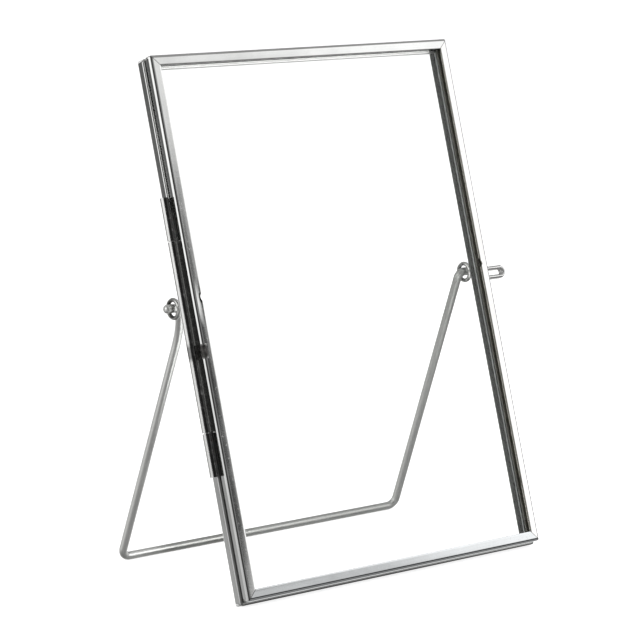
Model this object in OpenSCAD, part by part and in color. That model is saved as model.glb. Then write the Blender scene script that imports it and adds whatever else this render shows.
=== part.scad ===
// Free-standing glass picture frame, leaning back on a wire stand.
// Two mitred metal channel frames, each holding a glass pane, are hinged like
// a book on the left. A loop on the right of each half opens and ties the pair.
// A bent wire stand swings in two eyelets behind the frame.
//
// Frame coordinates used below: x across, y from the front face backwards,
// z up along the frame. in_frame() leans all of it back onto the table.
// Origin: centre of the footprint, on the table. +Z up, front faces -Y.

/* [Which piece] */

// Piece to draw; "all" draws the whole object

/* [Frame] */

// Height of the door from the underside of the back half to its own top
frame_h = 184; // [175:1:200]
// Width of the door
door_w = 131; // [120:1:145]
// How far the back half stands out past the door on the hinge side
side_ledge = 0.8; // [0.5:0.1:1.2]
// How far the door's lower edge stays above the back half's lower edge
door_lift = 1; // [0.8:0.1:2]
// How far the back half's top edge stays below the door's top edge
top_drop = 0.5; // [0:0.1:1]
// Angle that the frame leans back from upright
lean = 17; // [14:0.5:20]

/* [Channel] */

// Width of the channel's face
face_w = 3.8; // [3.4:0.1:4.6]
// Depth of the door's channel
door_d = 3.1; // [3.0:0.1:3.6]
// Depth of the back half's channel
back_d = 3.8; // [3.4:0.1:4.2]
// Gap between the two closed halves
half_gap = 0.4; // [0.3:0.1:0.8]
// Sheet thickness at the lips
lip_t = 0.6; // [0.45:0.05:0.6]
// Sheet thickness at the outer wall
wall_t = 0.6; // [0.5:0.05:0.8]
// Radius of the channel's exposed outer edge
outer_r = 1.3; // [0.8:0.1:1.4]
// Radius of the roll along the inner edge of each exposed lip
hem_r = 1.6; // [1.2:0.1:3]
// Angle through which that edge rolls in
hem_turn = 20; // [10:1:30]
// Radius of the channel's edge at the joint between the halves
joint_r = 0.5; // [0.3:0.1:0.6]
// Radius of the frame's four corners, seen from the front
corner_r = 1.3; // [0.8:0.1:2]
// Open seam at each mitred corner
mitre_gap = 0.16; // [0.06:0.02:0.2]
// Thickness of each glass pane
glass_t = 1.6; // [1.4:0.1:1.8]
// Radius of the thumb notch in each side lip of the door
notch_r = 1.6; // [1.2:0.1:2]
// Height of the notches' middle above the stand's pivot
notch_rise = 1.4; // [0:0.1:3]

/* [Hinge] */

// Height of the middle of the hinge along the frame
hinge_z = 89.8; // [85:0.1:95]
// Whole length of the hinge
hinge_len = 93.4; // [80:0.2:100]
// Length of the top and bottom knuckles
end_knuckle = 14.5; // [12:0.5:18]
// Outside radius of the hinge tube
tube_r = 1.4; // [1.2:0.05:1.5]
// Radius of the hinge pin
pin_r = 0.7; // [0.6:0.05:0.75]
// Running clearance around the pin
pin_clear = 0.05; // [0.03:0.01:0.08]
// Gap between neighbouring knuckles
knuckle_gap = 0.3; // [0.2:0.05:0.5]
// Clearance between the hinge tube and the back half's side
tube_clear = 0.1; // [0.05:0.05:0.3]
// Height of the solder patch along the frame
solder_z = 84.4; // [80:0.2:88]
// Length of the solder patch
solder_len = 5; // [4:0.5:6]
// Thickness of the solder patch
solder_t = 0.22; // [0.15:0.01:0.3]

/* [Pull loops] */

// Height of the loops along the frame
loop_z = 98.2; // [94:0.2:104]
// Reach of the door's loop from the door's side
door_loop_len = 8.8; // [7:0.2:10]
// Reach of the back loop from the back half's side
back_loop_len = 9.8; // [7:0.2:10]
// Width of each loop over its arms
loop_w = 4.7; // [4.4:0.1:5.5]
// Radius of the loop wire
loop_r = 0.75; // [0.6:0.05:0.8]

/* [Stand] */

// Height of the stand's pivot along the frame
pivot_z = 100.8; // [95:0.2:105]
// Distance of the pivot behind the frame's back face
pivot_out = 6.2; // [5.6:0.1:6.8]
// Distance of each eyelet in from the line of the door's side
eyelet_in = 0.9; // [0.8:0.1:1.6]
// Radius of the eyelet ring's centre line
eyelet_ring_r = 3.05; // [3:0.05:3.3]
// Radius of the eyelet wire
eyelet_r = 0.75; // [0.6:0.05:0.8]
// How far the pivot wire rides above the ring's centre
ride_up = 0.2; // [0:0.1:0.4]
// Radius of the stand's wire
wire_r = 1.5; // [1.3:0.05:1.5]
// Distance from the frame's front lower edge back to the middle of the foot bar
foot_y = 77.2; // [70:0.2:82]
// Half the distance between the legs' centre lines at the foot bar
foot_half = 62.2; // [56:0.2:64]
// Reach of each bent-out wire end from the frame's middle
end_reach = 68.4; // [68:0.2:72]
// Bend radius of the wire at the foot bar, on its centre line
foot_bend = 3.4; // [3:0.2:6]
// How far below the pivot the left leg's slight kink is
kink_drop = 9; // [8:0.5:20]
// How far the kink brings the left leg in from its neck
kink_in = 2.4; // [0.5:0.1:2.6]
// Bend radius of the wire at the eyelets, on its centre line
neck_bend = 2.3; // [2.2:0.1:2.6]

/* [Hidden] */

$fn = 48;

// Whole depth, and where the back half starts
total_d = door_d + half_gap + back_d;
back_y = door_d + half_gap;

// The back half
back_w = door_w + side_ledge;
back_x = -door_w / 2 - side_ledge;
back_h = frame_h - top_drop;
door_h = frame_h - door_lift;

// Height that sets the rounded lower back edge on the table
frame_rise = outer_r * (1 - cos(lean)) + (total_d - outer_r) * sin(lean);

// Hinge axis and knuckle lengths
hinge_x = back_x - tube_clear - tube_r;
hinge_y = door_d + half_gap / 2;
mid_knuckle = hinge_len - 2 * end_knuckle - 2 * knuckle_gap;
bore_r = pin_r + pin_clear;

// Stand pivot in frame coordinates, then on the table
pivot_y = total_d + pivot_out;
pivot_ty = pivot_y * cos(lean) + pivot_z * sin(lean);
pivot_tz = pivot_z * cos(lean) - pivot_y * sin(lean) + frame_rise;
leg_run = foot_y - pivot_ty;
leg_drop = pivot_tz - wire_r;
leg_len = sqrt(leg_run * leg_run + leg_drop * leg_drop);
leg_angle = atan2(leg_run, leg_drop);
eyelet_x = door_w / 2 - eyelet_in;
stem_in = lip_t - 0.1;
neck_half = eyelet_x - eyelet_r - wire_r - 0.25;

// Footprint, so that the origin sits at its centre
x_min = hinge_x - tube_r;
x_max = door_w / 2 + back_loop_len;
y_max = foot_y + wire_r;
y_min = (door_lift + outer_r) * sin(lean) + outer_r * cos(lean) - outer_r;
shift_x = -(x_min + x_max) / 2;
shift_y = -(y_min + y_max) / 2;

// Flats in a quarter of a rounded edge
arc_steps = 6;

// ---- placing ----

// Frame coordinates onto the table: leaned back and lifted onto its lower edge
module in_frame() {
    translate([shift_x, shift_y, frame_rise])
        rotate([-lean, 0, 0])
            children();
}

// ---- shared shapes ----

// Points on an arc about c, from angle a0 to a1
function arc(c, r, a0, a1, steps) = [
    for (i = [0 : steps]) c + r * [cos(a0 + (a1 - a0) * i / steps), sin(a0 + (a1 - a0) * i / steps)]
];

// Channel section of depth d: first coordinate inwards from the outer wall,
// second from the exposed face towards the joint. The slot opens inwards.
function channel_section(d) = concat(
    arc([outer_r, outer_r], outer_r, 270, 180, arc_steps),
    arc([joint_r, d - joint_r], joint_r, 180, 90, 4),
    arc([face_w - 0.2, d - 0.2], 0.2, 90, 0, 3),
    [[face_w, d - lip_t]],
    [[wall_t, d - lip_t]],
    [[wall_t, lip_t]],
    [[face_w, lip_t]],
    arc([face_w - hem_r * sin(hem_turn), hem_r], hem_r, hem_turn - 90, -90, 4)
);

// Outline of a frame w by h with rounded corners, lower left corner at zero
function plate_outline(w, h) = concat(
    arc([corner_r, corner_r], corner_r, 180, 270, arc_steps),
    arc([w - corner_r, corner_r], corner_r, 270, 360, arc_steps),
    arc([w - corner_r, h - corner_r], corner_r, 0, 90, arc_steps),
    arc([corner_r, h - corner_r], corner_r, 90, 180, arc_steps)
);

// A flat shape drawn in x and z, through more than the whole depth
module through_depth() {
    translate([0, total_d + 1, 0])
        rotate([90, 0, 0])
            linear_extrude(height = total_d + 2)
                children();
}

// Space that one mitred side of length len takes, standing along z at x = 0
module mitre_space(len) {
    g = mitre_gap / sqrt(2);
    in = face_w + 1;
    through_depth()
        polygon([[-1, -1 + g], [in, in + g], [in, len - in - g], [-1, len + 1 - g]]);
}

// One straight side with mitred ends, along z, outer wall at x = 0
module side_channel(len, d) {
    intersection() {
        linear_extrude(height = len)
            polygon(channel_section(d));
        mitre_space(len);
    }
}

// The four sides of a frame w by h by d, lower left corner at zero, face at y = 0
module left_side(w, h, d) {
    intersection() {
        side_channel(h, d);
        through_depth()
            polygon(plate_outline(w, h));
    }
}

module right_side(w, h, d) {
    translate([w, 0, 0])
        mirror([1, 0, 0])
            left_side(w, h, d);
}

module bottom_side(w, h, d) {
    intersection() {
        rotate([0, 90, 0])
            mirror([1, 0, 0])
                side_channel(w, d);
        through_depth()
            polygon(plate_outline(w, h));
    }
}

module top_side(w, h, d) {
    translate([0, 0, h])
        mirror([0, 0, 1])
            bottom_side(w, h, d);
}

// Places a half's own shape: the door faces forwards, the back half backwards
module as_door() {
    in_frame()
        translate([-door_w / 2, 0, door_lift])
            children();
}

module as_back() {
    in_frame()
        translate([back_x, total_d, 0])
            mirror([0, 1, 0])
                children();
}

// Glass pane reaching into the slot of a frame w by h by d
module pane(w, h, d) {
    edge = wall_t + 0.3;
    translate([edge, (d - glass_t) / 2, edge])
        cube([w - 2 * edge, glass_t, h - 2 * edge]);
}

// Thumb notch in the exposed lip at height z, on the outer-wall-at-zero side
module lip_notch(z) {
    translate([face_w + notch_r * 0.4, lip_t / 2 - 1, z])
        rotate([-90, 0, 0])
            cylinder(h = lip_t + 0.7, r = notch_r);
}

// Part of the hinge tube from z0, len long
module tube(z0, len) {
    translate([hinge_x, hinge_y, z0])
        difference() {
            cylinder(h = len, r = tube_r);
            translate([0, 0, -1])
                cylinder(h = len + 2, r = bore_r);
        }
}

// Strip joining the tube to a half's side at x = side_x, over depths y0 to y1
module web(z0, len, side_x, y0, y1) {
    difference() {
        translate([hinge_x + 0.6, y0, z0])
            cube([side_x - hinge_x - 0.6, y1 - y0, len]);
        translate([hinge_x, hinge_y, z0 - 1])
            cylinder(h = len + 2, r = bore_r + 0.2);
    }
}

// Wire hairpin reaching along +x from x = 0, arms one above the other
module hairpin(reach, width, r) {
    ring_r = width / 2 - r;
    arm = reach - width / 2;
    for (s = [-1, 1])
        translate([0, 0, s * ring_r])
            rotate([0, 90, 0])
                cylinder(h = arm, r = r);
    translate([arm, 0, 0])
        rotate([90, 0, 0])
            rotate_extrude(angle = 180, start = -90)
                translate([ring_r, 0])
                    circle(r = r);
}

// Closed ring across x with a stem forwards into the frame's back
module eyelet(x) {
    in_frame()
        translate([x, pivot_y, pivot_z - ride_up]) {
            rotate([0, 90, 0])
                rotate_extrude()
                    translate([eyelet_ring_r, 0])
                        circle(r = eyelet_r);
            translate([0, -pivot_out - stem_in, 0])
                rotate([-90, 0, 0])
                    cylinder(h = pivot_out + stem_in - eyelet_ring_r, r = eyelet_r);
        }
}

// ---- stand wire path, drawn flat: x across, y down the leg from the pivot ----

function turn(a, b, c) = let (u = (b - a) / norm(b - a), v = (c - b) / norm(c - b))
    atan2(u[0] * v[1] - u[1] * v[0], u * v);

// Length of straight wire taken up on each side of a bend
function set_back(t, r) = r * tan(abs(t) / 2);

// Straight wire from a to b
module straight(a, b, r) {
    d = b - a;
    translate([a[0], a[1], 0])
        rotate([0, 0, atan2(d[1], d[0])])
            rotate([0, 90, 0])
                cylinder(h = norm(d), r = r);
}

// Bend at b between a and c, with centre-line radius br
module bend(a, b, c, br, r) {
    t = turn(a, b, c);
    u = (b - a) / norm(b - a);
    side = t > 0 ? 1 : -1;
    centre = b - u * set_back(t, br) + side * br * [-u[1], u[0]];
    start_at = atan2(u[1], u[0]) - side * 90;
    translate([centre[0], centre[1], 0])
        rotate_extrude(angle = abs(t), start = side > 0 ? start_at : start_at - abs(t))
            translate([br, 0])
                circle(r = r);
}

stand_path = [
    [-end_reach, 0],
    [-neck_half, 0],
    [-neck_half + kink_in, kink_drop],
    [-foot_half, leg_len],
    [foot_half, leg_len],
    [neck_half, 0],
    [end_reach, 0]
];
stand_bends = [0, neck_bend, 40, foot_bend, foot_bend, neck_bend, 0];

// How far each straight length runs on inside the bend or end that it meets
bend_in = 0.12;

// Rounded wire end, from a flat face at zero to its tip at z = end_len
end_len = 1.6;
module wire_end(r) {
    rotate_extrude()
        polygon(concat([[0, 0], [r, 0]], arc([r - 1.1, end_len - 1.1], 1.1, 0, 90, arc_steps), [[0, end_len]]));
}

// ---- nodes: back half ----

module back_top_channel() {
    color([0.78, 0.79, 0.77])
        as_back()
            top_side(back_w, back_h, back_d);
}

module back_bottom_channel() {
    color([0.78, 0.79, 0.77])
        as_back()
            bottom_side(back_w, back_h, back_d);
}

module back_left_channel() {
    color([0.78, 0.79, 0.77])
        as_back()
            left_side(back_w, back_h, back_d);
}

module back_right_channel() {
    color([0.78, 0.79, 0.77])
        as_back()
            right_side(back_w, back_h, back_d);
}

module back_glass() {
    color([0.9, 0.96, 0.95, 0.3])
        as_back()
            pane(back_w, back_h, back_d);
}

// ---- nodes: door ----

module door_top_channel() {
    color([0.82, 0.83, 0.81])
        as_door()
            top_side(door_w, door_h, door_d);
}

module door_bottom_channel() {
    color([0.82, 0.83, 0.81])
        as_door()
            bottom_side(door_w, door_h, door_d);
}

module door_left_channel() {
    color([0.82, 0.83, 0.81])
        as_door()
            difference() {
                left_side(door_w, door_h, door_d);
                lip_notch(pivot_z - door_lift + notch_rise);
            }
}

module door_right_channel() {
    color([0.82, 0.83, 0.81])
        as_door()
            difference() {
                right_side(door_w, door_h, door_d);
                translate([door_w, 0, 0])
                    mirror([1, 0, 0])
                        lip_notch(pivot_z - door_lift + notch_rise);
            }
}

module door_glass() {
    color([0.9, 0.96, 0.95, 0.3])
        as_door()
            pane(door_w, door_h, door_d);
}

// ---- nodes: hinge ----

module hinge_knuckle_top() {
    z0 = hinge_z + hinge_len / 2 - end_knuckle;
    color([0.6, 0.6, 0.59])
        in_frame() {
            tube(z0, end_knuckle);
            web(z0, end_knuckle, back_x, back_y + 0.1, back_y + 0.9);
        }
}

module hinge_knuckle_middle() {
    z0 = hinge_z - mid_knuckle / 2;
    color([0.6, 0.6, 0.59])
        in_frame() {
            tube(z0, mid_knuckle);
            web(z0, mid_knuckle, -door_w / 2, door_d - 0.9, door_d - 0.1);
        }
}

module hinge_knuckle_bottom() {
    z0 = hinge_z - hinge_len / 2;
    color([0.6, 0.6, 0.59])
        in_frame() {
            tube(z0, end_knuckle);
            web(z0, end_knuckle, back_x, back_y + 0.1, back_y + 0.9);
        }
}

module hinge_pin() {
    color([0.55, 0.55, 0.54])
        in_frame()
            translate([hinge_x, hinge_y, hinge_z - hinge_len / 2 + 0.3])
                cylinder(h = hinge_len - 0.6, r = pin_r);
}

// Thin patch wrapped round the door's front left edge beside the hinge
module hinge_solder() {
    outside = concat(
        [[-solder_t, door_d - joint_r - 0.4]],
        arc([outer_r, outer_r], outer_r + solder_t, 180, 270, arc_steps),
        [[outer_r + 0.4, -solder_t * 0.4]],
        [[outer_r + 0.4, 0]],
        arc([outer_r, outer_r], outer_r, 270, 180, arc_steps),
        [[0, door_d - joint_r - 0.4]]
    );
    color([0.3, 0.29, 0.27])
        in_frame()
            translate([-door_w / 2, 0, solder_z - solder_len / 2])
                linear_extrude(height = solder_len)
                    polygon(outside);
}

// ---- nodes: pull loops ----

module back_pull_loop() {
    color([0.82, 0.82, 0.8])
        in_frame()
            translate([door_w / 2, back_y + 1, loop_z])
                hairpin(back_loop_len, loop_w, loop_r);
}

module door_pull_loop() {
    color([0.82, 0.82, 0.8])
        in_frame()
            translate([door_w / 2, door_d - 1, loop_z])
                hairpin(door_loop_len, loop_w, loop_r);
}

// ---- nodes: stand ----

module eyelet_left() {
    color([0.75, 0.76, 0.74])
        eyelet(-eyelet_x);
}

module eyelet_right() {
    color([0.75, 0.76, 0.74])
        eyelet(eyelet_x);
}

module stand_wire() {
    p = stand_path;
    b = stand_bends;
    n = len(p);
    color([0.72, 0.73, 0.72])
        translate([shift_x, pivot_ty + shift_y, pivot_tz])
            rotate([leg_angle - 90, 0, 0]) {
                for (s = [-1, 1])
                    translate([s * (end_reach - end_len), 0, 0])
                        rotate([0, s * 90, 0])
                            wire_end(wire_r);
                for (i = [0 : n - 2]) {
                    u = (p[i + 1] - p[i]) / norm(p[i + 1] - p[i]);
                    cut0 = i > 0 ? set_back(turn(p[i - 1], p[i], p[i + 1]), b[i]) : end_len;
                    cut1 = i < n - 2 ? set_back(turn(p[i], p[i + 1], p[i + 2]), b[i + 1]) : end_len;
                    straight(p[i] + u * (cut0 - bend_in), p[i + 1] - u * (cut1 - bend_in), wire_r - 0.01);
                    if (i < n - 2)
                        bend(p[i], p[i + 1], p[i + 2], b[i + 1], wire_r);
                }
            }
}

back_top_channel();
back_bottom_channel();
back_left_channel();
back_right_channel();
back_glass();
door_top_channel();
door_bottom_channel();
door_left_channel();
door_right_channel();
door_glass();
hinge_knuckle_top();
hinge_knuckle_middle();
hinge_knuckle_bottom();
hinge_pin();
hinge_solder();
back_pull_loop();
door_pull_loop();
eyelet_left();
eyelet_right();
stand_wire();
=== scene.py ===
"""Looks for the hinged glass picture frame on its wire stand.

The CAD pieces keep their shapes. This script softens their shading, gives each one a procedural
material, and adds the camera, the floor and a soft studio.
"""

import math

import bpy
from mathutils import Matrix, Vector

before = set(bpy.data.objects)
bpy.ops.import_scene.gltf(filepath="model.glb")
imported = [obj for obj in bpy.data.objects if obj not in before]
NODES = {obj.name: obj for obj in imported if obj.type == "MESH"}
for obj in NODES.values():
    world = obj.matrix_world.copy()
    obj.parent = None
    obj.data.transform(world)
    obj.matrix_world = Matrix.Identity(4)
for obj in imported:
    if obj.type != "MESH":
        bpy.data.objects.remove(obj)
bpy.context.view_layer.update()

MM = 0.001

# Frame coordinates, in millimetres on the leaning frame: X from its middle, Y (the depth) back from
# the door's front face, and Z (the height) up from its lower edge.
LEAN = math.radians(17.0)
FRAME_ORIGIN = (3.05, 38.455, 9.863)
HALF_WIDTH = 65.5
FRAME_TOP = 184.0
DOOR_REAR = 3.1
BACK_FRONT = 3.5
BACK_REAR = 7.3
FACE = 3.8
LIP = 0.6
HINGE_X = -67.8
HINGE_RADIUS = 1.4
SOLDER_HEIGHT = 84.4
RING_DEPTH, RING_HEIGHT, RING_RADIUS = 13.5, 100.6, 3.05

# Depths between the lips of each half, with a little of the lips
DOOR_SLOT = (LIP - 0.1, DOOR_REAR - LIP + 0.1)
BACK_SLOT = (BACK_FRONT + LIP - 0.1, BACK_REAR - LIP + 0.1)

# Edges between faces that meet at less than this are shaded smooth
SMOOTH_ANGLE = math.radians(38.0)
MERGE_DISTANCE = 0.0015 * MM


# ---- shading of the CAD pieces ----

def soft_shading_group():
    """Joins split corners, then smooths every edge flatter than SMOOTH_ANGLE."""
    group = bpy.data.node_groups.new("soft_shading", "GeometryNodeTree")
    group.interface.new_socket("Geometry", in_out="INPUT", socket_type="NodeSocketGeometry")
    group.interface.new_socket("Geometry", in_out="OUTPUT", socket_type="NodeSocketGeometry")
    nodes, links = group.nodes, group.links
    start = nodes.new("NodeGroupInput")
    end = nodes.new("NodeGroupOutput")
    merge = nodes.new("GeometryNodeMergeByDistance")
    merge.inputs["Distance"].default_value = MERGE_DISTANCE
    faces = nodes.new("GeometryNodeSetShadeSmooth")
    edges = nodes.new("GeometryNodeSetShadeSmooth")
    faces.domain, edges.domain = "FACE", "EDGE"
    faces.inputs["Shade Smooth"].default_value = True
    edges.inputs["Shade Smooth"].default_value = False
    angle = nodes.new("GeometryNodeInputMeshEdgeAngle")
    sharp = nodes.new("FunctionNodeCompare")
    sharp.data_type, sharp.operation = "FLOAT", "GREATER_THAN"
    sharp.inputs[1].default_value = SMOOTH_ANGLE
    links.new(start.outputs[0], merge.inputs["Geometry"])
    links.new(merge.outputs[0], faces.inputs["Geometry"])
    links.new(faces.outputs[0], edges.inputs["Geometry"])
    links.new(angle.outputs["Unsigned Angle"], sharp.inputs[0])
    links.new(sharp.outputs[0], edges.inputs["Selection"])
    links.new(edges.outputs[0], end.inputs[0])
    return group


def soften(obj, group):
    """Smooth shading on the piece, with normals weighted so that flat faces stay flat."""
    smooth = obj.modifiers.new("soft_shading", "NODES")
    smooth.node_group = group
    weighted = obj.modifiers.new("weighted_normals", "WEIGHTED_NORMAL")
    weighted.keep_sharp = True
    weighted.weight = 80
    weighted.mode = "FACE_AREA"


# ---- node trees ----

def grey(level):
    return (level, level, level)


def shade(colour, factor):
    return tuple(min(1.0, channel * factor) for channel in colour)


class Tree:
    """A material's node tree, with short calls for what the materials share."""

    def __init__(self, name):
        self.mat = bpy.data.materials.new(name)
        self.mat.use_nodes = True
        self.nodes = self.mat.node_tree.nodes
        self.links = self.mat.node_tree.links
        self.shader = self.nodes["Principled BSDF"]
        self.coords = self.nodes.new("ShaderNodeTexCoord").outputs["Object"]

    def fill(self, socket, value):
        """Links a node's output to the socket, or sets a number or colour on it."""
        if isinstance(value, bpy.types.NodeSocket):
            self.links.new(value, socket)
        elif isinstance(value, tuple) and socket.type == "RGBA" and len(value) == 3:
            socket.default_value = (*value, 1.0)
        else:
            socket.default_value = value

    def set(self, **values):
        """Fills the shader's sockets, with _ for the spaces in their names."""
        for name, value in values.items():
            self.fill(self.shader.inputs[name.replace("_", " ")], value)

    def along_frame(self):
        """Frame coordinates, in metres."""
        turn = self.nodes.new("ShaderNodeMapping")
        turn.inputs["Rotation"].default_value = (LEAN, 0, 0)
        turn.inputs["Location"].default_value = [c * MM for c in FRAME_ORIGIN]
        self.links.new(self.coords, turn.inputs["Vector"])
        return turn.outputs[0]

    def scaled(self, vector, scale, offset=(0, 0, 0)):
        node = self.nodes.new("ShaderNodeMapping")
        node.inputs["Scale"].default_value = scale
        node.inputs["Location"].default_value = offset
        self.links.new(vector, node.inputs["Vector"])
        return node.outputs[0]

    def axis(self, vector, name):
        node = self.nodes.new("ShaderNodeSeparateXYZ")
        self.links.new(vector, node.inputs[0])
        return node.outputs[name]

    def length(self, vector):
        node = self.nodes.new("ShaderNodeVectorMath")
        node.operation = "LENGTH"
        self.links.new(vector, node.inputs[0])
        return node.outputs["Value"]

    def noise(self, vector, scale, detail=3.0, rough=0.5, distortion=0.0):
        node = self.nodes.new("ShaderNodeTexNoise")
        node.inputs["Scale"].default_value = scale
        node.inputs["Detail"].default_value = detail
        node.inputs["Roughness"].default_value = rough
        node.inputs["Distortion"].default_value = distortion
        self.links.new(vector, node.inputs["Vector"])
        return node.outputs["Fac"]

    def ramp(self, value, stops):
        """Colour by value; stops are (position, (r, g, b)) pairs."""
        node = self.nodes.new("ShaderNodeValToRGB")
        elements = node.color_ramp.elements
        while len(elements) < len(stops):
            elements.new(0.5)
        for element, (position, colour) in zip(elements, stops):
            element.position = position
            element.color = (*colour, 1.0)
        self.links.new(value, node.inputs["Fac"])
        return node.outputs["Color"]

    def remap(self, value, low, high, new_low, new_high, smooth=False):
        """The value's range low to high laid onto new_low to new_high, and held beyond it."""
        node = self.nodes.new("ShaderNodeMapRange")
        if smooth:
            node.interpolation_type = "SMOOTHSTEP"
        limits = {"From Min": low, "From Max": high, "To Min": new_low, "To Max": new_high}
        for name, number in limits.items():
            node.inputs[name].default_value = number
        self.links.new(value, node.inputs["Value"])
        return node.outputs["Result"]

    def math(self, operation, a, b):
        node = self.nodes.new("ShaderNodeMath")
        node.operation = operation
        self.fill(node.inputs[0], a)
        self.fill(node.inputs[1], b)
        return node.outputs[0]

    def times(self, a, b):
        return self.math("MULTIPLY", a, b)

    def plus(self, a, b):
        return self.math("ADD", a, b)

    def mix(self, factor, a, b):
        """Colour a, going over to colour b as factor goes from 0 to 1."""
        node = self.nodes.new("ShaderNodeMix")
        node.data_type = "RGBA"
        self.fill(node.inputs["Factor"], factor)
        self.fill(node.inputs[6], a)
        self.fill(node.inputs[7], b)
        return node.outputs[2]

    def bump(self, height, strength, distance, under=None):
        """Bump of the height, on top of the bump under; gives the new one."""
        node = self.nodes.new("ShaderNodeBump")
        node.inputs["Strength"].default_value = strength
        node.inputs["Distance"].default_value = distance
        self.links.new(height, node.inputs["Height"])
        if under:
            self.links.new(under, node.inputs["Normal"])
        self.links.new(node.outputs[0], self.shader.inputs["Normal"])
        return node.outputs[0]

    # Masks by place, in frame coordinates: up is what along_frame() gives, numbers are millimetres

    def slope(self, up, axis, low, high, new_low=0.0, new_high=1.0, smooth=False):
        """new_low below the place low on an axis, new_high above high, even between them."""
        return self.remap(self.axis(up, axis), low * MM, high * MM, new_low, new_high, smooth)

    def band(self, value, low, high, soft=0.06):
        """1 between low and high, with soft ends."""
        rise = self.remap(value, (low - soft) * MM, (low + soft) * MM, 0.0, 1.0)
        fall = self.remap(value, (high - soft) * MM, (high + soft) * MM, 1.0, 0.0)
        return self.times(rise, fall)

    def spot(self, up, centre, half_size):
        """1 at a place on the frame's face (X, Z), falling to 0 round an ellipse."""
        place = self.scaled(
            up,
            (1.0 / (half_size[0] * MM), 0.0, 1.0 / (half_size[1] * MM)),
            (-centre[0] / half_size[0], 0.0, -centre[1] / half_size[1]),
        )
        return self.remap(self.length(place), 0.0, 1.0, 1.0, 0.0, smooth=True)

    def side_walls(self, up, depths, outer, soft=0.06):
        """1 on the side channels between two depths, from the opening out to |X| = outer."""
        side = self.math("ABSOLUTE", self.axis(up, "X"), 0.0)
        depth = self.band(self.axis(up, "Y"), *depths)
        return self.times(depth, self.band(side, 50.0, outer, soft))


# ---- metal ----

# Plating colours; the lighter and darker copies of the silver are painted light and shade, for the light
# that falls differently on each channel
SILVER = (0.86, 0.865, 0.855)
LIT_WARM_SILVER = (0.93, 0.925, 0.91)
SHADED_COOL_SILVER = (0.81, 0.83, 0.84)
LIT_PALE_SILVER = (0.93, 0.93, 0.92)
SHADED_DULL_SILVER = (0.31, 0.315, 0.31)
WIRE_STEEL = (0.68, 0.69, 0.665)
LOOP_STEEL = (0.86, 0.86, 0.85)
EYELET_STEEL = (0.70, 0.705, 0.68)

# Where the thumb notch has bruised the left lip: the painted shade in its hollow, and the dent round it
THUMB_SHADE, THUMB_SHADE_SIZE = (-62.7, 102.0), (0.85, 2.6)
THUMB_DENT, THUMB_DENT_SIZE = (-62.9, 100.5), (2.6, 9.0)

# Scale of the drawn lines' noise, which is stretched along one axis
DRAWN_LINES = {"x": (60, 2200, 2200), "z": (2200, 2200, 60)}


def metal(name, tone, along, rough=0.09, wave=0.6, channel=False, thumb=False, touches=()):
    """Plated sheet or wire. tone is its colour, and along the axis of its fine drawn lines. Each of
    touches is a function that colours part of it."""
    t = Tree(name)
    t.set(Metallic=1.0)
    up = t.along_frame()
    lines = t.noise(t.scaled(up, DRAWN_LINES[along]), 1.0, 4.0, 0.6)
    cloud = t.noise(up, 55.0, 4.0, 0.55)
    specks = t.noise(up, 900.0, 2.0, 0.5)
    colour = t.ramp(cloud, [(0.30, shade(tone, 0.9)), (0.55, tone), (0.75, shade(tone, 1.05))])
    colour = t.mix(t.remap(lines, 0.35, 0.75, 0.0, 0.18), colour, shade(tone, 0.72))
    for touch in touches:
        colour = touch(t, up, colour)
    t.set(Base_Color=colour)
    roughness = t.remap(cloud, 0.3, 0.7, rough * 0.75, rough * 1.3)
    roughness = t.plus(roughness, t.remap(specks, 0.62, 0.75, 0.0, 0.12))
    if channel:
        roughness = t.plus(roughness, t.times(dull_joint(t, up), 0.35))
    t.set(Roughness=roughness)
    height = t.plus(t.times(lines, 0.05), t.times(specks, 0.04))
    height = t.plus(height, t.times(t.noise(up, 38.0, 1.0, 0.4), wave))
    fine = t.bump(height, 0.08, 0.0006)
    if thumb:
        t.bump(t.spot(up, THUMB_DENT, THUMB_DENT_SIZE), 1.0, -0.00008, fine)
    return t.mat


def dull_joint(t, up):
    """1 in the joint between the halves, except on the outside above the hinge."""
    joint = t.band(t.axis(up, "Y"), DOOR_REAR - 0.4, BACK_FRONT + 0.4, 0.1)
    outside = t.band(t.axis(up, "X"), -HALF_WIDTH - 2.5, -HALF_WIDTH + 2.5)
    above_hinge = t.slope(up, "Z", 125.0, 140.0)
    return t.times(joint, t.math("SUBTRACT", 1.0, t.times(outside, above_hinge)))


def painted_channel_shade(opening_shade):
    """Painted shade in the side channels: the slots between the lips painted dark and not metallic, the
    walls round the opening darkened, and the joint between the halves darkened towards the bottom.
    """
    def touch(t, up, colour):
        # painted shade on the walls round the opening
        edges = t.side_walls(up, (0.25, BACK_REAR - 0.25), HALF_WIDTH - 2.0, 0.2)
        colour = t.mix(edges, colour, opening_shade)
        door = t.side_walls(up, DOOR_SLOT, HALF_WIDTH - 0.35)
        back = t.side_walls(up, BACK_SLOT, HALF_WIDTH - 0.35)
        # painted shade: the slots between the lips painted near black
        colour = t.mix(door, colour, (0.085, 0.08, 0.066))
        colour = t.mix(back, colour, (0.125, 0.13, 0.122))
        t.set(Metallic=t.math("SUBTRACT", 1.0, t.math("MAXIMUM", door, back)))
        # painted shade in the joint between the halves, deepest low down
        joint_shade = t.band(t.axis(up, "Y"), DOOR_REAR - 0.2, BACK_FRONT + 0.2, 0.15)
        return t.mix(t.times(joint_shade, t.slope(up, "Z", 60.0, 120.0, 0.5, 0.0)), colour, grey(0.1))
    return touch


def darkened_edge(axis, low, high, depth, tone):
    """The door's edge round the opening darkened to a tone, between two places on an axis and down to a
    depth.
    """
    def touch(t, up, colour):
        edge = t.times(t.band(t.axis(up, "Y"), -1.0, depth), t.band(t.axis(up, axis), low, high, 0.15))
        return t.mix(edge, colour, tone)
    return touch


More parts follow.
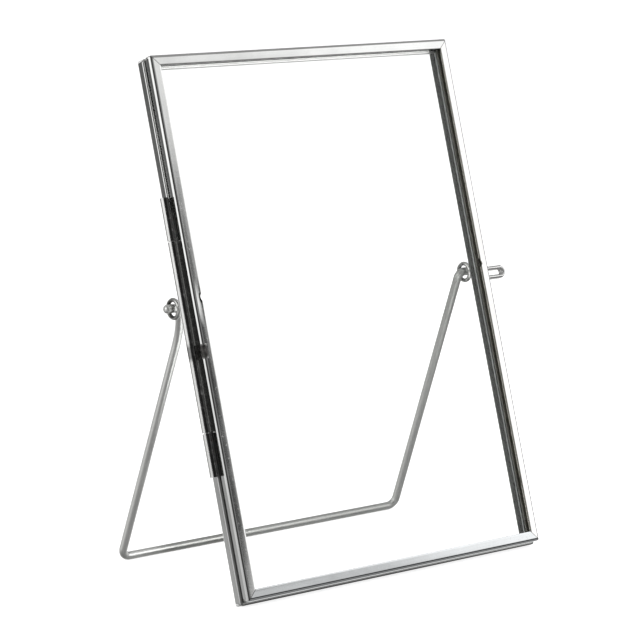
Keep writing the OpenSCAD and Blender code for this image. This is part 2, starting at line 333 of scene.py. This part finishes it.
def lit_slot_paint(t, up, colour):
    """Painted light: the slot of the back half's top channel painted near white and not metallic, so that
    it reads as brightly lit.
    """
    slot = t.times(t.band(t.axis(up, "Y"), *BACK_SLOT), t.band(t.axis(up, "Z"), 170.0, FRAME_TOP - 0.9))
    t.set(Metallic=t.math("SUBTRACT", 1.0, slot))
    return t.mix(slot, colour, (0.9, 0.9, 0.89))


def thumb_notch_shade(t, up, colour):
    # painted shade: the notch's hollow painted near black
    notch_shade = t.remap(t.spot(up, THUMB_SHADE, THUMB_SHADE_SIZE), 0.1, 0.5, 0.0, 1.0)
    return t.mix(notch_shade, colour, (0.03, 0.03, 0.028))


def leg_light_and_shade(t, up, colour):
    """Painted light and shade: the left leg painted brighter, and the right leg painted darker towards its
    top.
    """
    colour = t.mix(t.slope(up, "X", -52.0, -40.0, 1.0, 0.0), colour, (0.98, 0.985, 0.96))
    upper_shade = t.times(t.slope(up, "X", 40.0, 50.0), t.slope(up, "Z", 48.0, 90.0))
    return t.mix(upper_shade, colour, (0.40, 0.41, 0.39))


def ring_inner_shade(t, up, colour):
    """Painted shade on the inner side of the eyelets' rings."""
    place = t.scaled(up, (0.0, 1 / MM, 1 / MM), (0.0, -RING_DEPTH, -RING_HEIGHT))
    inside = t.remap(t.length(place), RING_RADIUS - 0.35, RING_RADIUS + 0.15, 1.0, 0.0)
    return t.mix(inside, colour, (0.13, 0.13, 0.12))


def hinge():
    """Polished tube, dark on its front and on the door's side: partly a dark finish, partly painted
    reflection in the greys banded across it, and stained by the solder smear.
    """
    t = Tree("hinge_steel")
    t.set(Metallic=1.0)
    up = t.along_frame()
    lines = t.noise(t.scaled(up, DRAWN_LINES["z"]), 1.0, 4.0, 0.6)
    specks = t.noise(up, 700.0, 3.0, 0.6)
    front = t.slope(up, "Y", 2.0, 2.3, 1.0, 0.0, smooth=True)
    inner = t.slope(up, "X", HINGE_X - 0.3, HINGE_X + 0.1, smooth=True)
    smear = t.band(t.axis(up, "Z"), SOLDER_HEIGHT - 2.4, SOLDER_HEIGHT + 2.6, 0.9)
    # dark on the front and the door's side, partly finish and partly painted reflection, with the solder's
    # stain
    dark_finish_reflection_and_smear = t.math("MAXIMUM", t.math("MAXIMUM", front, inner), t.times(smear, 0.75))
    dark_finish_reflection_and_smear = t.times(dark_finish_reflection_and_smear, t.remap(specks, 0.55, 0.8, 1.0, 0.75))
    steel = t.ramp(lines, [(0.3, (0.70, 0.70, 0.69)), (0.7, (0.84, 0.84, 0.83))])
    # greys of the dark finish and the painted reflection, from the tube's outer side to the door's
    greys = [(0.04, 0.09), (0.19, 0.12), (0.27, 0.06), (0.77, 0.05), (0.88, 0.32)]
    across = t.slope(up, "X", HINGE_X - 1.2, HINGE_X + HINGE_RADIUS)
    dark = t.ramp(across, [(place, (g, g, g * 0.97)) for place, g in greys])
    t.set(Base_Color=t.mix(dark_finish_reflection_and_smear, steel, dark))
    t.set(Roughness=t.remap(specks, 0.3, 0.7, 0.14, 0.26))
    t.bump(t.plus(t.times(lines, 0.06), t.times(specks, 0.06)), 0.35, 0.0006)
    return t.mat


def solder():
    """Lumpy dark solder that thins out into the plating round it."""
    t = Tree("solder")
    t.set(Metallic=1.0)
    lumps = t.noise(t.coords, 900.0, 5.0, 0.6, 0.4)
    dark = t.ramp(lumps, [(0.3, (0.05, 0.05, 0.048)), (0.6, (0.16, 0.155, 0.15)), (0.8, (0.5, 0.5, 0.49))])
    patch = t.spot(t.along_frame(), (-HALF_WIDTH + 0.3, SOLDER_HEIGHT), (2.9, 3.1))
    smear = t.remap(patch, 0.05, 0.4, 0.0, 1.0, smooth=True)
    t.set(Base_Color=t.mix(smear, (0.42, 0.42, 0.41), dark))
    t.set(Roughness=t.times(t.remap(smear, 0.0, 1.0, 0.35, 1.0), t.remap(lumps, 0.3, 0.7, 0.3, 0.55)))
    t.bump(lumps, 0.8, 0.0004)
    return t.mat


# ---- glass ----

def glass():
    """Clear pane with faint smudges and dust."""
    t = Tree("clear_glass")
    t.set(IOR=1.22, Transmission_Weight=1.0, Metallic=0.0)
    smudge = t.noise(t.along_frame(), 24.0, 6.0, 0.62, 0.3)
    dust = t.noise(t.coords, 1500.0, 1.0, 0.5)
    t.set(Roughness=t.plus(t.remap(smudge, 0.5, 0.8, 0.0, 0.012), t.remap(dust, 0.74, 0.8, 0.0, 0.03)))
    t.set(Base_Color=t.ramp(smudge, [(0.3, (1.0, 1.0, 1.0)), (0.8, (0.992, 0.998, 0.995))]))
    return t.mat


def shaded_glass_edge():
    """The pane's ground edge, painted dark as the shade in the slot that holds it."""
    t = Tree("shaded_glass_edge")
    grain = t.noise(t.coords, 1200.0, 4.0, 0.6)
    t.set(Base_Color=t.ramp(grain, [(0.3, (0.060, 0.064, 0.056)), (0.7, (0.110, 0.114, 0.100))]))
    t.set(Roughness=t.remap(grain, 0.3, 0.7, 0.5, 0.75))
    t.bump(grain, 0.3, 0.0002)
    return t.mat


# ---- dressing the pieces ----

def dress(names, material):
    for name in names:
        NODES[name].data.materials.clear()
        NODES[name].data.materials.append(material)


def dress_all():
    # painted shade in the side channels of the door and the back half
    door_channel_shade = painted_channel_shade((0.10, 0.10, 0.085))
    back_channel_shade = painted_channel_shade((0.27, 0.28, 0.27))
    # painted shade on the underside of the top lip, where it meets the glass
    top_lip_shade = darkened_edge("Z", 176.0, FRAME_TOP - FACE + 0.3, LIP + 0.1, (0.26, 0.26, 0.25))
    # a darker brownish rim along the inner edge of the right lip
    right_edge = darkened_edge("X", 60.0, HALF_WIDTH - FACE + 0.28, 0.25, (0.36, 0.34, 0.30))
    # the lighter and darker silvers on the channels paint the light and shade that falls on each
    dress(["door_top_channel"], metal("plate_top", SILVER, "x", touches=[top_lip_shade]))
    dress(["door_bottom_channel"], metal("plate_bottom", SHADED_COOL_SILVER, "x"))
    dress(["door_left_channel"],
          metal("plate_left", SILVER, "z", channel=True, thumb=True, touches=[door_channel_shade, thumb_notch_shade]))
    dress(["door_right_channel"],
          metal("plate_right", LIT_WARM_SILVER, "z", channel=True, touches=[door_channel_shade, right_edge]))
    dress(["back_left_channel", "back_right_channel"],
          metal("plate_back_sides", SILVER, "z", channel=True, touches=[back_channel_shade]))
    # painted light in the slot of the back half's top channel
    dress(["back_top_channel"], metal("plate_back_top", LIT_PALE_SILVER, "x", touches=[lit_slot_paint]))
    # the back half's bottom channel painted dark, the painted shade that the door casts on it
    dress(["back_bottom_channel"], metal("plate_back_bottom", SHADED_DULL_SILVER, "x"))
    dress(["stand_wire"],
          metal("stand_wire_steel", WIRE_STEEL, "z", rough=0.35, wave=0.1, touches=[leg_light_and_shade]))
    dress([n for n in NODES if n.endswith("_loop")],
          metal("loop_wire_steel", LOOP_STEEL, "x", rough=0.16, wave=0.2))
    dress([n for n in NODES if n.startswith("eyelet")],
          metal("eyelet_wire_steel", EYELET_STEEL, "x", rough=0.16, wave=0.2, touches=[ring_inner_shade]))
    dress([n for n in NODES if n.startswith("hinge_knuckle")] + ["hinge_pin"], hinge())
    dress(["hinge_solder"], solder())
    panes = ["door_glass", "back_glass"]
    dress(panes, glass())
    # the panes' side edges take the painted shade of the slots
    ground = shaded_glass_edge()
    for name in panes:
        NODES[name].visible_shadow = False
        NODES[name].data.materials.append(ground)
        for face in NODES[name].data.polygons:
            if abs(face.normal.x) > 0.9:
                face.material_index = 1


dress_all()
SOFT = soft_shading_group()
for piece in NODES.values():
    soften(piece, SOFT)


# ---- camera ----

AZIMUTH, ELEVATION, ROLL = math.radians(39.15), math.radians(9.89), math.radians(0.25)
TARGET = Vector((-39.32, -39.66, 93.19)) * MM
DISTANCE = 902.4 * MM
LENS, SENSOR = 155.23, 36.0


def camera():
    """Looks at TARGET from the front left and a little above."""
    forward = Vector((
        math.sin(AZIMUTH) * math.cos(ELEVATION),
        math.cos(AZIMUTH) * math.cos(ELEVATION),
        -math.sin(ELEVATION),
    ))
    right = Vector((math.cos(AZIMUTH), -math.sin(AZIMUTH), 0.0))
    up = right.cross(forward)
    tilted_right = math.cos(ROLL) * right + math.sin(ROLL) * up
    tilted_up = -math.sin(ROLL) * right + math.cos(ROLL) * up
    data = bpy.data.cameras.new("camera")
    data.sensor_width = SENSOR
    data.lens = LENS
    data.clip_start, data.clip_end = 0.01, 100.0
    cam = bpy.data.objects.new("camera", data)
    bpy.context.scene.collection.objects.link(cam)
    turn = Matrix((tilted_right, tilted_up, -forward)).transposed().to_4x4()
    cam.matrix_world = Matrix.Translation(TARGET - forward * DISTANCE) @ turn
    bpy.context.scene.camera = cam


camera()


# ---- studio ----

def floor(half=12.0):
    """A wide sheet of pale paper, lit from within so that it runs into the background."""
    mesh = bpy.data.meshes.new("floor")
    corners = [(-half, -half, 0), (half, -half, 0), (half, half, 0), (-half, half, 0)]
    mesh.from_pydata(corners, [], [(0, 1, 2, 3)])
    obj = bpy.data.objects.new("floor", mesh)
    bpy.context.scene.collection.objects.link(obj)
    t = Tree("floor_paper")
    grain = t.noise(t.coords, 180.0, 3.0, 0.5)
    t.set(Base_Color=t.ramp(grain, [(0.3, grey(0.86)), (0.7, grey(0.9))]))
    t.set(Roughness=0.9, Specular_IOR_Level=0.1)
    t.set(Emission_Color=grey(1.0), Emission_Strength=0.8)
    mesh.materials.append(t.mat)
    obj.visible_glossy = False


floor()

# Greys of the plain part of the studio, by the height of the direction from -1 to 1
STUDIO_GREYS = [(-1.0, 0.15), (-0.6, 0.25), (-0.28, 0.40), (-0.2, 0.32), (-0.12, 0.13), (0.0, 0.12),
                (0.3, 0.2), (0.6, 0.30), (1.0, 0.36)]

# Greys across the slanting edge of the right softbox, in from its dark side
EDGE_WIDTH = 4.0
EDGE_GREYS = [(0.0, 0.05), (0.3, 0.28), (0.6, 0.52), (1.5, 0.60), (2.2, 0.95), (3.2, 1.2)]


class Sky(Tree):
    """The world's node tree, with the same calls as a material's; its coordinates are directions."""

    def __init__(self, world):
        self.nodes, self.links = world.node_tree.nodes, world.node_tree.links
        self.coords = self.nodes.new("ShaderNodeTexCoord").outputs["Generated"]

    def toward(self, direction):
        """How far each direction goes along the given one."""
        node = self.nodes.new("ShaderNodeVectorMath")
        node.operation = "DOT_PRODUCT"
        node.inputs[1].default_value = direction
        self.links.new(self.coords, node.inputs[0])
        return node.outputs["Value"]

    def patch(self, direction, start, full):
        """1 within the angle full of a direction, falling to 0 at the angle start (degrees)."""
        dot = self.toward(Vector(direction).normalized())
        low, high = math.cos(math.radians(start)), math.cos(math.radians(full))
        return self.remap(dot, low, high, 0.0, 1.0, smooth=True)


def right_softbox(t, height):
    """The greys of the right softbox, with its slanting edge, and the mask of where it stands."""
    slant = t.plus(t.toward((45.0, 0.0, 6.0)), -27.83)
    slant = t.ramp(t.remap(slant, 0.0, EDGE_WIDTH, 0.0, 1.0),
                   [(place / EDGE_WIDTH, grey(g)) for place, g in EDGE_GREYS])
    slant = t.math("MAXIMUM", slant, t.remap(height, 0.335, 0.372, 0.0, 0.88, smooth=True))
    slant = t.math("MAXIMUM", slant, t.remap(height, 0.224, 0.206, 0.0, 0.62, smooth=True))
    right = t.remap(t.axis(t.coords, "X"), 0.3, 0.5, 0.0, 1.0, smooth=True)
    front = t.remap(t.axis(t.coords, "Y"), -0.1, 0.25, 1.0, 0.0, smooth=True)
    above = t.remap(height, -0.28, 0.0, 0.0, 1.0, smooth=True)
    below = t.remap(height, 0.56, 0.68, 1.0, 0.0, smooth=True)
    return slant, t.times(t.times(t.times(right, front), above), below)


def studio():
    """A soft studio: white sweep behind, tall softbox at the left, wide softbox at the front right
    whose edge falls off slantwise, dark where the viewer stands."""
    world = bpy.data.worlds.new("studio")
    bpy.context.scene.world = world
    world.use_nodes = True
    t = Sky(world)
    height = t.axis(t.coords, "Z")
    plain = [((h + 1) / 2, grey(g)) for h, g in STUDIO_GREYS]
    colour = t.ramp(t.remap(height, -1.0, 1.0, 0.0, 1.0), plain)
    sweep = t.patch((0.627, 0.779, -0.05), 62.0, 48.0)
    sweep = t.times(sweep, t.remap(height, 0.28, 0.42, 1.0, 0.0, smooth=True))
    colour = t.mix(sweep, colour, grey(1.02))
    left = t.patch((-0.99, 0.087, 0.13), 39.0, 31.0)
    up_frame = (0.0, 0.292, 0.956)
    left = t.times(left, t.remap(t.toward(up_frame), -0.03, 0.08, 0.42, 1.0))
    colour = t.mix(left, colour, grey(1.15))
    viewer = t.patch((-0.53, -0.80, 0.28), 27.0, 20.0)
    colour = t.mix(viewer, colour, grey(0.05))
    slant, right = right_softbox(t, height)
    colour = t.mix(right, colour, slant)
    gap_right = t.patch((1.0, 0.25, 0.2), 33.0, 25.0)
    colour = t.mix(gap_right, colour, (0.16, 0.155, 0.175))
    gap_below = t.patch((0.6, -0.76, -0.22), 18.0, 10.0)
    colour = t.mix(gap_below, colour, grey(0.05))
    t.links.new(colour, t.nodes["Background"].inputs["Color"])
    t.nodes["Background"].inputs["Strength"].default_value = 1.0


studio()


def softbox(name, place, size, power, aim=(0.0, -0.01, 0.09)):
    """An area light that the metal doesn't mirror: it lights only the glass edges, the slots painted dark
    or pale, and the floor.
    """
    light = bpy.data.lights.new(name, "AREA")
    light.shape = "RECTANGLE"
    light.size, light.size_y = size
    light.energy = power
    obj = bpy.data.objects.new(name, light)
    bpy.context.scene.collection.objects.link(obj)
    obj.location = place
    obj.rotation_euler = (Vector(aim) - Vector(place)).to_track_quat("-Z", "Y").to_euler()
    obj.visible_glossy = False


softbox("key", (0.72, -0.86, 0.45), (1.0, 0.7), 2.1)
softbox("top", (-0.1, -0.15, 1.3), (1.4, 1.0), 4.5)
softbox("fill", (-1.1, -0.5, 0.5), (0.3, 0.8), 1.2)

scene = bpy.context.scene
scene.view_settings.view_transform = "Standard"
scene.view_settings.look = "None"
